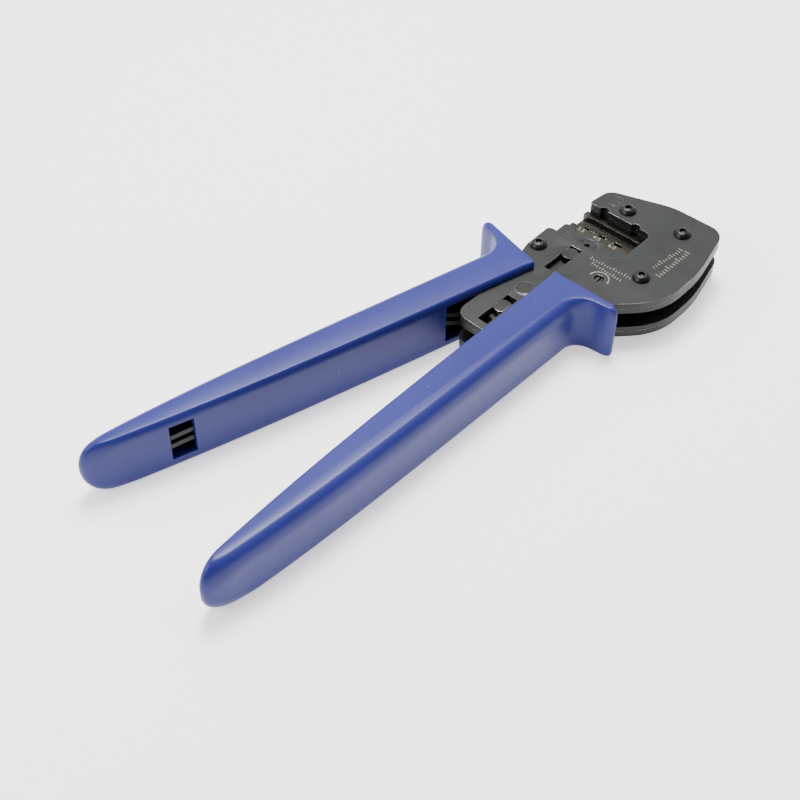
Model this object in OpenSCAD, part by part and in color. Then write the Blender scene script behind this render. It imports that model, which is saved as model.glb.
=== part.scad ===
// Parallel-action ratchet crimping tool, dies closed.
// The pivot pin stands on the tool's axis, +X runs to the head, +Y to the moving handle.
// Z is 0 on the underside of the grips. Plan places are measured from the pivot pin,
// and the whole tool is then shifted so that the origin lies on the fixed grip's underside.

/* [Plate stack] */
// Thickness of each outer frame plate
outer_t = 3; // [2:0.1:4]
// Thickness of each inner frame plate
inner_t = 2.4; // [1.8:0.1:3.2]
// Space between the two inner frame plates
gap_t = 7.7; // [7.2:0.1:9.5]
// Thickness of each lever plate
lever_t = 2.2; // [1.6:0.1:2.4]
// Distance between the two moving lever plates
lever_gap = 2.4; // [2.2:0.1:3]

/* [Head] */
// Distance from the pivot to the line where the dies meet
crimp_x = 57.5; // [54:0.5:75]
// Length of the head beyond the mouth's far edge
head_beyond = 22.8; // [20:0.5:30]
// Width of the head from the tool's axis to its rim
head_rim = 47.2; // [46:0.5:60]
// Distance from the pivot to the near edge of the mouth
mouth_x = 38.7; // [38:0.1:40]
// Depth of the mouth below the tool's axis
mouth_low = 18.1; // [17:0.1:19]
// Height of the neck above the tool's axis
neck_y = 17.8; // [17.2:0.1:19]
// Reach of the tail behind the pivot
tail_x = 30.8; // [30.6:0.1:34]
// Height of the tail above the tool's axis
tail_y = 11.6; // [9:0.1:12]

/* [Dies] */
// Length of both dies across the tool
die_w = 30.2; // [26:0.1:30.6]
// Width of the thin nose on each die
nose_w = 3.8; // [3:0.1:6]
// Depth of the step from a die's shoulder to its nose
nose_step = 3.3; // [2:0.1:4]
// Gap left between the closed dies
die_gap = 0.12; // [0.1:0.01:0.3]
// Spacing of the crimping nests
nest_step = 8.35; // [7:0.05:9]

/* [Slide] */
// Distance from the pivot to the front guide pin
guide_x = 30.6; // [30:0.1:31]
// Distance between the two guide pins
guide_step = 45; // [44:0.1:45.5]
// Diameter of the front guide pin
front_pin_d = 7; // [6:0.1:7.2]
// Diameter of the rear guide pin
rear_pin_d = 7.5; // [6:0.1:7.8]
// Travel of the slide from closed to open
travel = 8.5; // [6:0.1:8.6]
// Half width of the carrier's narrow part
strap_half = 6; // [5.4:0.1:6.2]

/* [Drive] */
// Diameter of the pivot pin
pivot_d = 7; // [6:0.1:8.6]
// Radius of the crank from the pivot
crank_r = 19; // [18:0.1:19.5]
// Angle of the crank below the tool's axis when closed
crank_ang = 10; // [8:1:14]
// Diameter of the crank pin
crank_d = 6; // [5:0.1:6.5]
// Radius over the ratchet teeth of the lever plates
ratchet_r = 24; // [23.6:0.1:24.4]
// Number of ratchet teeth
tooth_n = 8; // [6:1:8]
// Depth of a ratchet tooth
tooth_h = 1.3; // [0.8:0.1:1.8]
// Diameter of the release screw
release_d = 4.5; // [3.5:0.1:5.5]

/* [Handles] */
// Height of both grips
grip_h = 26; // [25.6:0.1:32]
// Length of both grips
grip_l = 206; // [165:1:246]
// Thickness of a grip's side walls
grip_wall = 2.7; // [2:0.1:3]
// Width of the rounding along a grip's outer top edge
side_round_w = 5; // [3:0.1:6]
// Height of the rounding along a grip's outer top edge
side_round_h = 7.7; // [4:0.1:9]
// Width of the rounding along a grip's inner top edge
inner_round_w = 1.8; // [1:0.1:2.4]
// Height of the rounding along a grip's inner top edge
inner_round_h = 4.4; // [2:0.1:6]
// Length of the rounding over a grip's tip
tip_round_w = 9; // [5:0.1:11]
// Height of the rounding over a grip's tip
tip_round_h = 11.5; // [7:0.1:12]
// Reach of the finger guard from a grip's inner face
guard_v = 35.2; // [32:0.1:40]
// Angle of the moving handle from the tool's axis when closed
handle_ang = 13.6; // [12:0.1:18]
// Length of a grip's open inner side
grip_open = 46; // [44:0.5:50]
// Distance from a grip's tip to the middle of its window
tip_to_window = 40.2; // [35:0.1:47]

/* [Screws] */
// Diameter of a button head
head_d = 7.6; // [6:0.1:8]
// Height of a button head
head_h = 2.2; // [1.5:0.1:2.3]
// Diameter of a screw's shank
shank_d = 4; // [3:0.1:5]
// Width across the flats of a screw's socket
socket_af = 2.5; // [2:0.1:3]

/* [Hidden] */

STEEL = [0.33, 0.35, 0.34];
BRIGHT = [0.62, 0.63, 0.62];
BLACK = [0.12, 0.12, 0.13];
BLUE = [0.2, 0.25, 0.6];

// Clearances: a running joint, a fit inside one body, a sliding face, a cut through a face
run = 0.05;
fit = 0.02;
slip = 0.1;
eps = 0.5;

// The pivot's place, so that the origin lies on the fixed grip's underside
pivot_y = 13;

// Levels, from the underside of the grips
stack_t = 2 * (outer_t + inner_t) + gap_t;
z_bot = (grip_h - stack_t) / 2;
z_top = z_bot + stack_t;
z_in_bot = z_bot + outer_t;
z_gap_bot = z_in_bot + inner_t;
z_gap_top = z_gap_bot + gap_t;
z_in_top = z_gap_top + inner_t;
z_mid = grip_h / 2;
z_lever_low = z_mid - lever_gap / 2 - lever_t;
z_lever_high = z_mid + lever_gap / 2;

// Places along the head
mouth_far = crimp_x + 6.7;
head_end = mouth_far + head_beyond;
carrier_front = crimp_x - 8.8;
carrier_back = mouth_x - 0.5;
shoulder_x = crimp_x - nose_w;
die_low = -die_w / 2 + 0.7;
die_top = die_low + die_w;
die_back = guide_x + 9.7;
die_screw = [carrier_front - 5.8, 0];
die_screw_d = 4;
die_seat_x = 76.5 - 64.2 + mouth_far;
die_seat_y = 9.6;
channel_back = carrier_back - travel - 0.4;
channel_low = die_low - 1.2;
channel_top = die_top + 0.2;
slot1_near = 16.3;
slot2_far = -26.9;
rear_x = guide_x - guide_step;

// Screws and dowel: the neck, the far side of the mouth, the far rim, the near rim
SCREWS = [
  [25.7, 13.4],
  [mouth_far + 6.5, -0.9],
  [mouth_far + 9.6, -27.5],
  [38.5, -31.3]
];
SPACED = [0, 2, 3];
spacer_r = [3.2, 0, 4.5, 4.5];
dowel = [mouth_far + 8.4, 7.1];
dowel_d = 6.7;

// The crank pin and the link, closed
crank = crank_r * [cos(crank_ang), -sin(crank_ang)];
link_vec = [guide_x, 0] - crank;
link_len = norm(link_vec);
link_open = 1.7;

// The release screw's axis and the pawl
release = [25.9, -18.7];
pawl_dir = atan2(-release.y, -release.x);
pawl_reach = norm(release) - ratchet_r - 0.4;

// The pivot's place in each grip's own frame: along the grip, across the grip
FIXED_AT = [14.4, -4];
MOVING_AT = [11.9, -7.4];

// The coil of the return spring and its anchor
coil_r = pivot_d / 2 + 1.7;
coil_wire = 0.9;
anchor = [-11.5, -11.1];
anchor_r = 2;
stud = [8, 14];
stud_r = 2;
post = [33.5, -22];
post_r = 1.5;

// Rivets of the fixed lever, and places of the moving lever's rivets along its grip
FIXED_RIVETS = [[-19.5, -12.5], [-27, -12.5]];
rivet_r = 2.5;
LEVER_RIVETS = [0.31, 0.5, 0.7];
lever_rivet_d = 3.2;
RIBS = [0.36, 0.45, 0.6, 0.75, 0.9];

// ---- plan helpers -------------------------------------------------------------------

function unit(v) = v / norm(v);
function flat(p) = [p.x, p.y];

// The points of one rounded corner: b is [x, y, radius], between a and c
function corner(a, b, c, n) =
  let (
    to_a = unit(flat(a) - flat(b)),
    to_c = unit(flat(c) - flat(b)),
    half = acos(to_a * to_c) / 2,
    mid = flat(b) + unit(to_a + to_c) * b.z / sin(half),
    from = flat(b) + to_a * b.z / tan(half) - mid,
    side = (to_a.x * to_c.y - to_a.y * to_c.x) > 0 ? -1 : 1,
    sweep = side * (180 - 2 * half)
  )
  b.z == 0 ? [flat(b)] :
  [for (i = [0 : n])
    let (t = sweep * i / n)
    mid + [from.x * cos(t) - from.y * sin(t), from.x * sin(t) + from.y * cos(t)]];

// A closed outline with every corner rounded
function rounded(pts, n = 6) =
  let (last = len(pts) - 1)
  [for (i = [0 : last])
    each corner(pts[i == 0 ? last : i - 1], pts[i], pts[i == last ? 0 : i + 1], n)];

module from_pivot() {
  translate([0, pivot_y, 0]) children();
}

// From a grip's own frame to the tool: u runs along the grip to its tip, v outwards
module in_fixed() {
  rotate(180) translate([-FIXED_AT.x, -FIXED_AT.y, 0]) children();
}

module in_moving() {
  rotate(-handle_ang) mirror([1, 0, 0]) translate([-MOVING_AT.x, -MOVING_AT.y, 0]) children();
}

module plate(z, t) {
  translate([0, 0, z]) linear_extrude(t) children();
}

module hole(p, d, z0, z1) {
  translate([p.x, p.y, z0]) cylinder(d = d, h = z1 - z0, $fn = 48);
}

module rod(p, d, z0, z1) {
  translate([p.x, p.y, z0]) cylinder(d = d, h = z1 - z0, $fn = 48);
}

module span(x0, x1, half) {
  translate([x0, -half]) square([x1 - x0, 2 * half]);
}

// ---- frame plates -------------------------------------------------------------------

// The outline of all four frame plates without the mouth: tail, neck, head and rim
module plate_outline() {
  polygon(rounded([
    [-tail_x, -17.4, 3],
    [-tail_x, tail_y, 6],
    [0, tail_y, 20],
    [23.3, neck_y - 0.3, 6],
    [mouth_x, neck_y, 2.2],
    [mouth_x, -mouth_low, 9],
    [mouth_far, -mouth_low, 3],
    [mouth_far, 15, 1.2],
    [head_end - 10.4, 13.9, 6.5],
    [head_end - 0.4, -14, 30],
    [head_end + 0.2, 7 - head_rim, 8],
    [head_end - 29, -head_rim, 60],
    [33, -head_rim - 0.2, 30],
    [12.4, -28.2, 8],
    [8.6, -17.4, 3]
  ], 8));
}

// Half-round notches in the far edge of the mouth
module mouth_notches() {
  for (y = [6.9, -9.8]) {
    translate([mouth_far - 0.2, y]) circle(d = 4.2, $fn = 40);
  }
}

module outer_plan() {
  difference() {
    plate_outline();
    mouth_notches();
    span(slot1_near, guide_x + front_pin_d / 2 + 1.1, front_pin_d * 0.76 / 2 + slip);
    span(slot2_far, rear_x + rear_pin_d / 2 + 2.95, rear_pin_d * 0.65 / 2 + slip);
  }
}

// The inner plates leave a channel for the carrier
module inner_plan() {
  difference() {
    plate_outline();
    mouth_notches();
    span(rear_x - travel - strap_half - 0.3, channel_back + 1, strap_half + slip);
    translate([channel_back, channel_low]) {
      square([mouth_far - channel_back, channel_top - channel_low]);
    }
  }
}

module stack_holes(z0, z1, d) {
  for (p = SCREWS) hole(p, d, z0 - eps, z1 + eps);
  for (p = FIXED_RIVETS) hole(p, 2 * rivet_r + 2 * fit, z0 - eps, z1 + eps);
  hole(dowel, dowel_d + 2 * fit, z0 - eps, z1 + eps);
}

module pivot_hole(z0, z1) {
  hole([0, 0], pivot_d + 2 * fit, z0 - eps, z1 + eps);
}

module outer_plate_upper() {
  color(STEEL) from_pivot() difference() {
    plate(z_in_top, outer_t) outer_plan();
    stack_holes(z_in_top, z_top, shank_d + 0.2);
    pivot_hole(z_in_top, z_top);
    hole(release, release_d + 0.2, z_in_top - eps, z_top + eps);
    translate([0, 0, z_top - 0.4]) cylinder(d1 = pivot_d, d2 = pivot_d + 1.6, h = 0.8, $fn = 48);
  }
}

module inner_plate_upper() {
  color(STEEL) from_pivot() difference() {
    plate(z_gap_top, inner_t) inner_plan();
    stack_holes(z_gap_top, z_in_top, shank_d + 0.2);
    hole(release, release_d + 0.2, z_gap_top - eps, z_in_top + eps);
    hole(anchor, 2 * anchor_r + 2 * fit, z_gap_top - eps, z_in_top + eps);
    hole(post, 2 * post_r + 2 * fit, z_gap_top - eps, z_in_top + eps);
  }
}

module inner_plate_lower() {
  color(STEEL) from_pivot() difference() {
    plate(z_in_bot, inner_t) inner_plan();
    stack_holes(z_in_bot, z_gap_bot, shank_d + 0.2);
    hole(release, release_d + 0.2, z_in_bot - eps, z_gap_bot + eps);
    hole(anchor, 2 * anchor_r + 2 * fit, z_in_bot - eps, z_gap_bot + eps);
    hole(post, 2 * post_r + 2 * fit, z_in_bot - eps, z_gap_bot + eps);
  }
}

// The lowest plate holds the screws' threads
module outer_plate_lower() {
  color(STEEL) from_pivot() difference() {
    plate(z_bot, outer_t) outer_plan();
    stack_holes(z_bot, z_in_bot, shank_d);
    pivot_hole(z_bot, z_in_bot);
    hole(release, release_d + 0.2, z_bot + 1, z_in_bot + eps);
    translate([0, 0, z_bot - 0.4]) cylinder(d1 = pivot_d + 1.6, d2 = pivot_d, h = 0.8, $fn = 48);
  }
}

// ---- fasteners and pins of the frame ------------------------------------------------

module pivot_pin() {
  color(BRIGHT) from_pivot() rod([0, 0], pivot_d, z_bot, z_top);
}

module plate_spacers() {
  color(BRIGHT) from_pivot() for (i = SPACED) {
    difference() {
      rod(SCREWS[i], 2 * spacer_r[i], z_gap_bot, z_gap_top);
      hole(SCREWS[i], shank_d + 0.1, z_gap_bot - eps, z_gap_top + eps);
    }
  }
}

// A domed button head with a hexagon socket, on its shank
module button_screw() {
  dome = (pow(head_d / 2, 2) - pow(socket_af * 0.62, 2)) / (2 * (head_h - 0.3));
  difference() {
    union() {
      translate([0, 0, z_bot - z_top]) cylinder(d = shank_d - 2 * fit, h = z_top - z_bot + 0.1, $fn = 40);
      rotate_extrude($fn = 48) polygon(concat(
        [[0, 0], [head_d / 2, 0]],
        [for (i = [0 : 8])
          let (t = i / 8, r = head_d / 2 * (1 - t) + socket_af * 0.62 * t)
          [r, 0.3 + (head_h - 0.3) * (1 - pow(1 - t, 2) * (1 - 0.2 * t))]],
        [[0, head_h]]
      ));
    }
    translate([0, 0, head_h - 1.4]) cylinder(d = socket_af / cos(30), h = 2, $fn = 6);
  }
}

module frame_screws() {
  color(BLACK) from_pivot() for (p = SCREWS) {
    translate([p.x, p.y, z_top]) button_screw();
  }
}

module locating_dowel() {
  color(STEEL) from_pivot() rod(dowel, dowel_d, z_bot, z_top);
}

module spring_anchor() {
  color(BRIGHT) from_pivot() rod(anchor, 2 * anchor_r, z_in_bot, z_in_top);
}

module pawl_spring_post() {
  color(BRIGHT) from_pivot() rod(post, 2 * post_r, z_in_bot, z_in_top);
}

// ---- dies ---------------------------------------------------------------------------

// A plan of the three nests: small, medium and large, as lens-shaped openings
module nests() {
  size = [2.8, 3.4, 4];
  for (i = [0 : 2]) {
    translate([crimp_x, 2.2 + nest_step - i * nest_step]) {
      polygon(rounded([
        [-0.95 - 0.1 * i, -size[i] / 2, 0.5],
        [0.95 + 0.1 * i, -size[i] / 2, 0.8],
        [0.95 + 0.1 * i, size[i] / 2, 0.8],
        [-0.95 - 0.1 * i, size[i] / 2, 0.5],
        [-0.35, 0, 0.3]
      ], 4));
    }
  }
}

module moving_die() {
  color(BRIGHT) from_pivot() difference() {
    union() {
      translate([die_back, die_low, z_gap_bot]) {
        cube([shoulder_x - die_back, die_w, gap_t]);
      }
      translate([shoulder_x - 1, die_low, z_gap_bot]) {
        cube([nose_w + 1 - die_gap / 2, die_w, gap_t - nose_step]);
      }
    }
    plate(z_gap_bot - eps, gap_t) nests();
    hole(die_screw, die_screw_d + 0.1, z_gap_bot - eps, z_gap_top + eps);
  }
}

module fixed_die() {
  color(BRIGHT) from_pivot() difference() {
    union() {
      translate([crimp_x + nose_w + 0.2, die_low, z_gap_bot]) {
        cube([mouth_far - crimp_x - nose_w, die_w, gap_t]);
      }
      translate([crimp_x + die_gap / 2, die_low, z_gap_bot]) {
        cube([nose_w + 1, die_w, gap_t - nose_step]);
      }
      translate([mouth_far - 0.5, die_low + 0.6, z_gap_bot]) {
        cube([die_seat_x - mouth_far, die_seat_y - die_low + 1.8, gap_t]);
      }
    }
    plate(z_gap_bot - eps, gap_t) nests();
    hole(SCREWS[1], shank_d + 0.1, z_gap_bot - eps, z_gap_top + eps);
    hole(dowel, dowel_d + 2 * fit, z_gap_bot - eps, z_gap_top + eps);
  }
}

// ---- slide --------------------------------------------------------------------------

module carrier_plan() {
  difference() {
    union() {
      polygon(rounded([
        [carrier_back, die_low - 1, 1],
        [carrier_front, die_low - 1, 1],
        [carrier_front, die_top + 0.1, 1.2],
        [carrier_back, die_top + 0.1, 1]
      ]));
      span(rear_x, carrier_back + 2, strap_half);
      translate([rear_x, 0]) circle(r = strap_half, $fn = 48);
    }
    for (y = [-nest_step, nest_step]) {
      translate([carrier_front + 0.2, y]) circle(d = 4.2, $fn = 40);
    }
    span(0, travel, pivot_d / 2 + 0.25);
    for (x = [0, travel]) {
      translate([x, 0]) circle(d = pivot_d + 0.5, $fn = 48);
    }
    translate([guide_x, 0]) circle(d = front_pin_d + 2 * fit, $fn = 48);
    translate([rear_x, 0]) circle(d = rear_pin_d + 2 * fit, $fn = 48);
  }
}

module carrier_upper() {
  color(STEEL) from_pivot() difference() {
    plate(z_gap_top, inner_t - slip) carrier_plan();
    translate([die_screw.x, 0, z_in_top - slip - 1.9]) {
      cylinder(d1 = die_screw_d + 0.4, d2 = 2 * die_screw_d + 0.7, h = 2, $fn = 48);
    }
    hole(die_screw, die_screw_d + 0.1, z_gap_top - eps, z_in_top);
  }
}

module carrier_lower() {
  color(STEEL) from_pivot() difference() {
    plate(z_in_bot + slip, inner_t - slip) carrier_plan();
    hole(die_screw, die_screw_d + 0.1, z_in_bot, z_gap_bot + eps);
  }
}

// A countersunk screw with a small hexagon socket
module die_screw() {
  color(BLACK) from_pivot() translate([die_screw.x, 0, 0]) difference() {
    union() {
      rod([0, 0], die_screw_d, z_in_bot + slip, z_in_top - slip - 1.9);
      translate([0, 0, z_in_top - slip - 2]) {
        cylinder(d1 = die_screw_d, d2 = 2 * die_screw_d, h = 1.9, $fn = 48);
      }
    }
    translate([0, 0, z_in_top - slip - 1.5]) cylinder(d = 2.3 / cos(30), h = 2, $fn = 6);
  }
}

// A guide pin: round between the outer plates, flatted where it runs in their slots
module guide_pin(x, d, flats) {
  color(BRIGHT) from_pivot() translate([x, 0, 0]) {
    translate([0, 0, z_in_bot + slip]) cylinder(d = d, h = z_in_top - z_in_bot - 2 * slip, $fn = 48);
    intersection() {
      translate([0, 0, z_bot]) cylinder(d = d, h = stack_t, $fn = 48);
      translate([-d, -flats / 2, z_bot - 1]) cube([2 * d, flats, stack_t + 2]);
    }
  }
}

module front_guide_pin() {
  guide_pin(guide_x, front_pin_d, front_pin_d * 0.76);
}

module rear_guide_pin() {
  guide_pin(rear_x, rear_pin_d, rear_pin_d * 0.65);
}

// ---- drive --------------------------------------------------------------------------

// The moving lever's plan, closed: hub, toothed lobe, and arm running into the grip
module moving_lever_plan() {
  difference() {
    union() {
      circle(r = 9, $fn = 60);
      polygon(concat(
        [[2.5, -8.4]],
        [for (i = [0 : 12]) ratchet_r * [cos(-40 + 40 * i / 12), sin(-40 + 40 * i / 12)]],
        [[13.5, 4.8], [11, 12], [9.6, 16.4], [2, 20]],
        [for (p = concat(
          [[25, 13.2], [60, 13.2], [grip_l * 0.92, 11.4], [grip_l * 0.92, 8.7]],
          window_nib(),
          [[60, 4.6], [grip_open - 0.5, 4]])) moving_point(p)],
        [[-16.5, 5.6], [-8, 3.8], [-8, -4]]
      ));
    }
    circle(d = pivot_d + 2 * run, $fn = 48);
    for (i = [0 : tooth_n - 1]) {
      rotate(-37 + 3.6 * i) translate([ratchet_r, 0]) {
        polygon([[0.6, -0.75], [0.6, 1.1], [-tooth_h, -0.75]]);
      }
    }
  }
}

// A nib on each lever stands in the grip's window and locks the grip on
nib_half = 4.8;
nib_root = 8;
nib_sunk = 0.9;
function window_nib() =
  let (u = grip_l - tip_to_window, v = inner_v(u / grip_l) + nib_sunk)
  [[u + nib_half, nib_root], [u + nib_half, v], [u - nib_half, v], [u - nib_half, nib_root]];

function moving_point(p) =
  let (u = p.x - MOVING_AT.x, v = p.y - MOVING_AT.y)
  [-u * cos(handle_ang) + v * sin(handle_ang), u * sin(handle_ang) + v * cos(handle_ang)];

function fixed_point(p) = [FIXED_AT.x - p.x, FIXED_AT.y - p.y];

function lever_rivet(i) =
  moving_point([LEVER_RIVETS[i] * grip_l, 8 + 2.4 * LEVER_RIVETS[i]]);

module moving_lever(z) {
  color(STEEL) from_pivot() difference() {
    plate(z, lever_t) moving_lever_plan();
    hole(crank, crank_d + 2 * fit, z - eps, z + lever_t + eps);
    hole(stud, 2 * stud_r + 2 * fit, z - eps, z + lever_t + eps);
    for (i = [0 : 2]) hole(lever_rivet(i), lever_rivet_d + 2 * fit, z - eps, z + lever_t + eps);
  }
}

module moving_lever_upper() {
  moving_lever(z_lever_high);
}

module moving_lever_lower() {
  moving_lever(z_lever_low);
}

module crank_pin() {
  color(BRIGHT) from_pivot() rod(crank, crank_d, z_lever_low, z_lever_high + lever_t);
}

// Rivets along the moving handle, each with a collar between the plates, and the spring's stud
module lever_rivets() {
  color(BRIGHT) from_pivot() {
    for (i = [0 : 2]) {
      rod(lever_rivet(i), lever_rivet_d, z_lever_low, z_lever_high + lever_t);
      rod(lever_rivet(i), lever_rivet_d + 2, z_lever_low + lever_t, z_lever_high);
    }
    rod(stud, 2 * stud_r, z_lever_low, z_lever_high + lever_t);
  }
}

// The link from the crank pin to the front guide pin, with a roomy eye at the guide pin
module toggle_link() {
  eye = front_pin_d / 2 + link_open;
  wide = eye + 2.4;
  slim = crank_d / 2 + 3;
  t = lever_gap - 0.5;
  color(STEEL) from_pivot() translate([crank.x, crank.y, z_mid - t / 2]) {
    rotate(atan2(link_vec.y, link_vec.x)) difference() {
      union() {
        cylinder(r = slim, h = t, $fn = 48);
        translate([link_len, 0, 0]) cylinder(r = wide, h = t, $fn = 48);
        linear_extrude(t) polygon([[0, -slim], [link_len, -wide], [link_len, wide], [0, slim]]);
      }
      translate([0, 0, -eps]) cylinder(d = crank_d + 2 * run, h = t + 2 * eps, $fn = 48);
      translate([link_len, 0, -eps]) cylinder(r = eye, h = t + 2 * eps, $fn = 48);
    }
  }
}

// The pawl points at the pivot and stops just short of the lower plate's teeth
module pawl() {
  t = lever_t;
  color(STEEL) from_pivot() translate([release.x, release.y, z_lever_low]) difference() {
    union() {
      cylinder(r = 4.4, h = t, $fn = 48);
      rotate(pawl_dir) linear_extrude(t) {
        polygon([[0, -4.2], [pawl_reach - 1, -1.6], [pawl_reach, -1.2], [pawl_reach - 0.6, 0.8], [0, 4.2]]);
      }
    }
    translate([0, 0, -eps]) cylinder(d = release_d + 2 * fit, h = t + 2 * eps, $fn = 48);
  }
}

// The pawl's axle, which ends in a slotted head just below the plate's face
module release_screw() {
  color(BLACK) from_pivot() translate([release.x, release.y, 0]) difference() {
    translate([0, 0, z_bot + 1.1]) cylinder(d = release_d, h = stack_t - 1.9, $fn = 48);
    translate([-release_d, -0.45, z_top - 1.9]) cube([2 * release_d, 0.9, 2]);
  }
}

// ---- springs ------------------------------------------------------------------------

// A round wire along a list of points, as one closed surface
module wire(path, d, n = 8) {
  last = len(path) - 1;
  tangents = [for (i = [0 : last]) unit(path[min(i + 1, last)] - path[max(i - 1, 0)])];
  rings = [for (i = [0 : last])
    let (
      side = unit(cross(tangents[i], [0, 0, 1])),
      up = cross(side, tangents[i])
    )
    each [for (k = [0 : n - 1])
      path[i] + d / 2 * (side * cos(360 * k / n) + up * sin(360 * k / n))]];
  sides = [for (i = [0 : last - 1]) each [for (k = [0 : n - 1])
    [i * n + k, i * n + (k + 1) % n, (i + 1) * n + (k + 1) % n, (i + 1) * n + k]]];
  polyhedron(
    points = rings,
    faces = concat(
      [[for (k = [0 : n - 1]) n - 1 - k]],
      sides,
      [[for (k = [0 : n - 1]) last * n + k]]
    )
  );
}

// A coil of radius r from angle a0 to a1, rising from z0 to z1
function coil(r, a0, a1, z0, z1, n) =
  [for (i = [0 : n])
    let (t = i / n, a = a0 + (a1 - a0) * t)
    [r * cos(a), r * sin(a), z0 + (z1 - z0) * t]];

// Torsion spring round the pivot: one leg on the anchor, the other behind the lever's stud
module return_spring() {
  a_end = -435;
  low = z_mid - 0.6;
  high = z_mid + 0.6;
  exit = coil_r * [cos(a_end), sin(a_end)];
  way = [sin(a_end), -cos(a_end)];
  color(BRIGHT) from_pivot() wire(concat(
    [[coil_r, 16.5, low], [coil_r, 1, low]],
    coil(coil_r, 0, a_end, low, high, 40),
    [[exit.x + way.x, exit.y + way.y, high], [exit.x + 14 * way.x, exit.y + 14 * way.y, high]]
  ), coil_wire);
}

// Torsion spring on the pawl's axle, with one leg against its post
module pawl_spring() {
  r = release_d / 2 + 0.6;
  low = z_lever_low + lever_t + 0.6;
  high = low + 1.2;
  reach = post - release;
  aim = atan2(reach.y, reach.x) + 90;
  color(BRIGHT) from_pivot() translate([release.x, release.y, 0]) wire(concat(
    coil(r, aim + 540, aim, low, high, 44),
    [[(norm(reach) - 1) * cos(aim - 76), (norm(reach) - 1) * sin(aim - 76), high]]
  ), 0.7);
}

// ---- handles ------------------------------------------------------------------------

// Inner and outer faces of a grip, as places across it at a share of its length
function inner_v(t) = 5.2 * pow(t, 3.5) + 0.7 * t;
function outer_v(t) = 18.9 - 1.6 * t - 4.6 * pow(t, 5);

// A grip's outline as [u, v, height of its rounding]: s is 0 at the outline's full width,
// and 1 where the rounding meets the flat top
tip_start = 0.925;
inner_steps = 14;
tip_steps = 14;
outer_steps = 12;
guard_steps = 8;

function grip_plan(s) = concat(
  [[0.7 + 0.4 * s, 0.1 + 1.3 * s, 1.5]],
  [for (i = [1 : inner_steps])
    let (t = tip_start * i / inner_steps)
    [grip_l * t, inner_v(t) + inner_round_w * s, inner_round_h]],
  tip_arc(s),
  [for (i = [0 : outer_steps])
    let (t = tip_start - (tip_start - 0.09) * i / outer_steps)
    [grip_l * t, outer_v(t) - side_round_w * s, side_round_h]],
  guard_arc(s),
  [
    [4.3 - 0.9 * s, guard_v - 2.3 - 2.1 * s, 4.8],
    [2.7 - 0.15 * s, guard_v - 3.8 * s, 5.4],
    [0.95 + 0.35 * s, guard_v - 1.6 - 2.4 * s, 4.2]
  ]
);

// Half an ellipse closes the tip
function tip_arc(s) =
  let (
    low = inner_v(tip_start) + inner_round_w * s,
    high = outer_v(tip_start) - side_round_w * s,
    long = grip_l * (1 - tip_start) - tip_round_w * s
  )
  [for (i = [1 : tip_steps - 1])
    let (a = 180 * i / tip_steps, share = i / tip_steps)
    [
      grip_l * tip_start + long * sin(a),
      (low + high) / 2 - (high - low) / 2 * cos(a),
      inner_round_h * (1 - share) + side_round_h * share
        + (tip_round_h - (inner_round_h + side_round_h) / 2) * sin(a)
    ]];

// The hand's side of the guard sweeps out in a quarter curve
function guard_arc(s) =
  let (
    from = outer_v(0.06) - side_round_w * s,
    to = guard_v - 8.2 - 0.5 * s,
    near = 12.5 + 2 * s,
    reach = 7.9 + 2.3 * s
  )
  [for (i = [0 : guard_steps])
    let (a = 90 * i / guard_steps, share = i / guard_steps)
    [
      near - reach * sin(a),
      to - (to - from) * cos(a),
      side_round_h * (1 - share) + 3.2 * share
    ]];

// The space inside a grip, with the wedge that the frame plates need at its end
module grip_hollow(t) {
  steps = 12;
  far = 0.925;
  translate([0, 0, z_mid - t / 2]) linear_extrude(t) polygon(concat(
    [[-1, grip_wall]],
    [for (i = [1 : steps]) [grip_l * far * i / steps, inner_v(far * i / steps) + grip_wall]],
    [for (i = [0 : steps])
      let (s = far - (far - 0.06) * i / steps)
      [grip_l * s, outer_v(s) - grip_wall]],
    [[7.6, 17.4], [2.9, 24.5], [-1, 28.6]]
  ));
  translate([-1, -2, z_mid - t / 2]) cube([grip_open + 1, grip_wall + 4, t]);
}

// The grip's window shows the edges of the lever plates inside
module grip_window() {
  translate([grip_l - tip_to_window - 5.2, -1, z_mid - 8.85]) cube([10.4, 9, 17.7]);
}

// Cross ribs that hold the lever plates
module grip_ribs(t, z0, z1) {
  for (s = RIBS) difference() {
    translate([grip_l * s - 1.25, inner_v(s) + 1, z_mid - t / 2 - 0.2]) {
      cube([2.5, outer_v(s) - inner_v(s) - 2, t + 0.4]);
    }
    translate([grip_l * s - 3, 1, z0]) cube([6, 16, z1 - z0]);
  }
}

// Size of the rounding below against that above: half, and more towards the tip
function low_share(t) = 0.5 + 6.5 * max(0, t - 0.9);

module grip_body() {
  steps = 4;
  full = grip_plan(0);
  flat = grip_plan(1);
  rings = concat(
    [for (i = [0 : steps]) let (a = 90 - 90 * i / steps)
      [for (k = [0 : len(full) - 1])
        let (p = full[k], w = low_share(p.x / grip_l), q = p + (flat[k] - p) * w * (1 - cos(a)))
        [q.x, q.y, w * p.z * (1 - sin(a))]]],
    [for (i = [0 : steps]) let (a = 90 * i / steps)
      [for (p = grip_plan(1 - cos(a))) [p.x, p.y, grip_h - p.z * (1 - sin(a))]]]
  );
  n = len(rings[0]);
  last = len(rings) - 1;
  polyhedron(
    points = [for (r = rings) each r],
    faces = concat(
      [for (f = grip_cap()) f],
      [for (i = [0 : last - 1]) each [for (k = [0 : n - 1])
        let (a = i * n + k, b = i * n + (k + 1) % n)
        each [[b, a, a + n], [b, a + n, b + n]]]],
      [for (f = grip_cap()) [for (k = [len(f) - 1 : -1 : 0]) last * n + f[k]]]
    )
  );
}

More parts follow.
